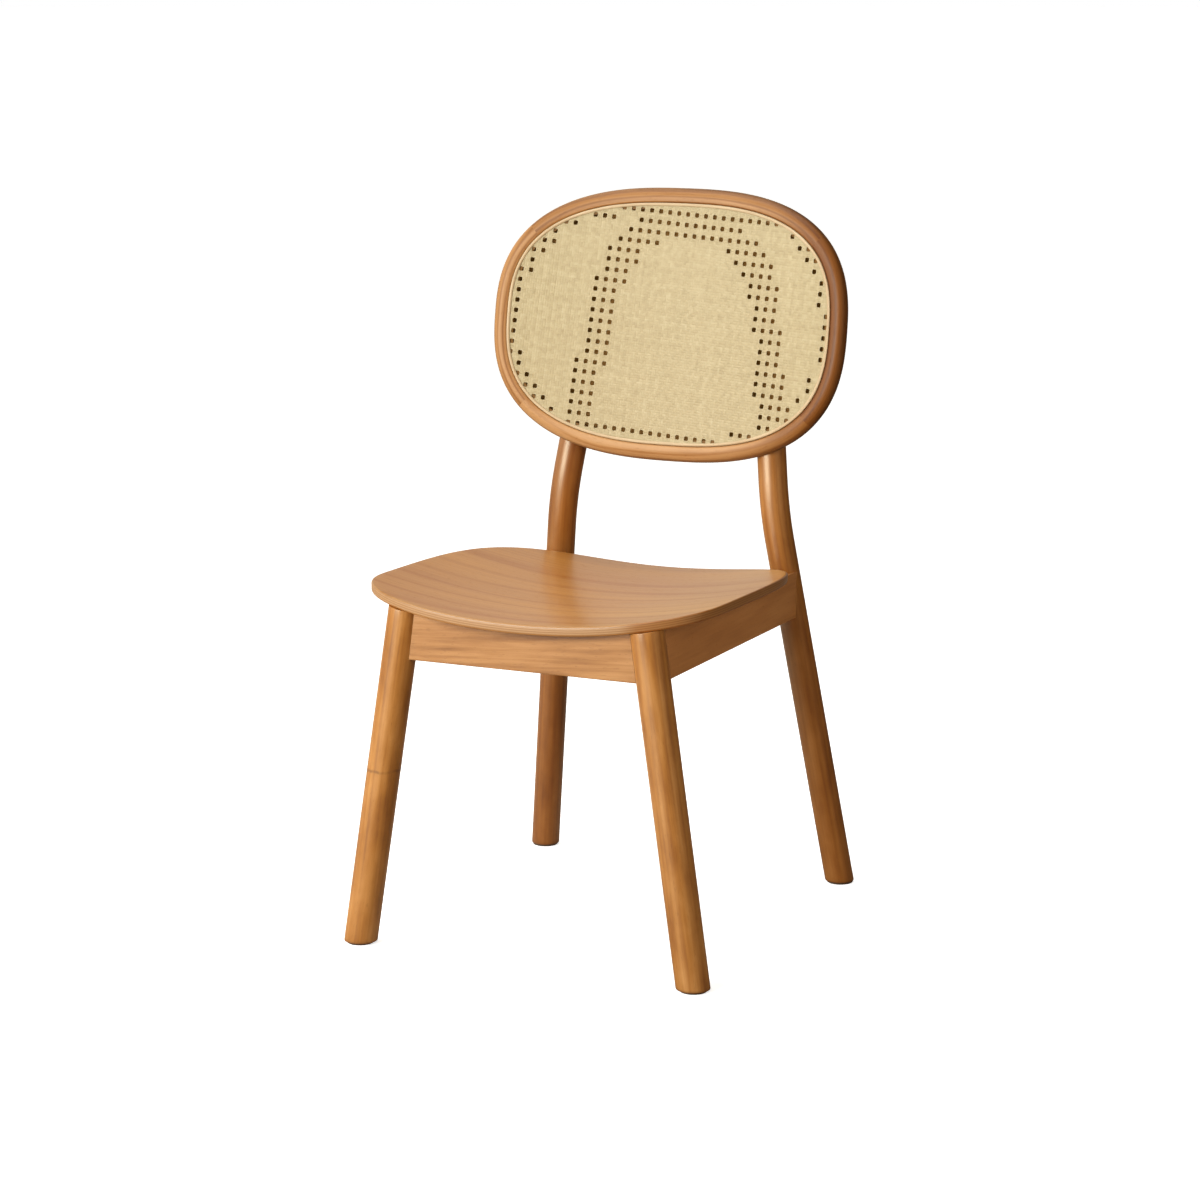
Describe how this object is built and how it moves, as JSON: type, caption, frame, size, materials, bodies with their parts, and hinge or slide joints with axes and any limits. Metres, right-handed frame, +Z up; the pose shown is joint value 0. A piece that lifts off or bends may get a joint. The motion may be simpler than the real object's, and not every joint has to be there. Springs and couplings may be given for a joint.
{
  "type": "cane back chair",
  "caption": "Rigid wooden dining chair with a dished plywood seat on splayed round legs and a leaning, bowed oval hoop back filled with woven cane.",
  "frame": {"origin": "on the floor, in the middle of the chair's outline seen from above", "axes": "+X to the right seen from the front; the sitter faces -Y; +Z up"},
  "size_m": [0.5, 0.5504, 0.9205],
  "materials": {
    "honey_beech": "solid beech, honey stain, satin lacquer",
    "honey_ply": "moulded beech plywood, honey stain, satin lacquer",
    "stained_ply": "thin plywood, dark stain, matt",
    "raw_beech": "unfinished beech",
    "natural_cane": "woven rattan cane, natural straw colour",
    "pale_reed": "rattan reed, pale",
    "dark_nylon": "moulded nylon, dark brown",
    "zinc_steel": "zinc-plated steel"
  },
  "bodies": {
    "root": {"apron_screw_front_left_cross": "zinc_steel", "apron_screw_front_left_side": "zinc_steel", "apron_screw_front_right_cross": "zinc_steel", "apron_screw_front_right_side": "zinc_steel", "apron_screw_rear_left_cross": "zinc_steel", "apron_screw_rear_left_side": "zinc_steel", "apron_screw_rear_right_cross": "zinc_steel", "apron_screw_rear_right_side": "zinc_steel", "back_dowel_left": "raw_beech", "back_dowel_right": "raw_beech", "backing_panel": "stained_ply", "cane_panel": "natural_cane", "cane_spline": "pale_reed", "corner_block_front_left": "raw_beech", "corner_block_front_right": "raw_beech", "corner_block_rear_left": "raw_beech", "corner_block_rear_right": "raw_beech", "foot_glide_front_left": "dark_nylon", "foot_glide_front_right": "dark_nylon", "foot_glide_rear_left": "dark_nylon", "foot_glide_rear_right": "dark_nylon", "front_apron": "honey_beech", "front_leg_left": "honey_beech", "front_leg_right": "honey_beech", "hoop_bottom": "honey_beech", "hoop_dowel_bottom_left": "raw_beech", "hoop_dowel_bottom_right": "raw_beech", "hoop_dowel_top_left": "raw_beech", "hoop_dowel_top_right": "raw_beech", "hoop_left": "honey_beech", "hoop_right": "honey_beech", "hoop_top": "honey_beech", "left_apron": "honey_beech", "rear_apron": "honey_beech", "rear_leg_left": "honey_beech", "rear_leg_right": "honey_beech", "right_apron": "honey_beech", "seat_panel": "honey_ply", "seat_screw_front_left": "zinc_steel", "seat_screw_front_right": "zinc_steel", "seat_screw_rear_left": "zinc_steel", "seat_screw_rear_right": "zinc_steel"}
  },
  "joints": []
}
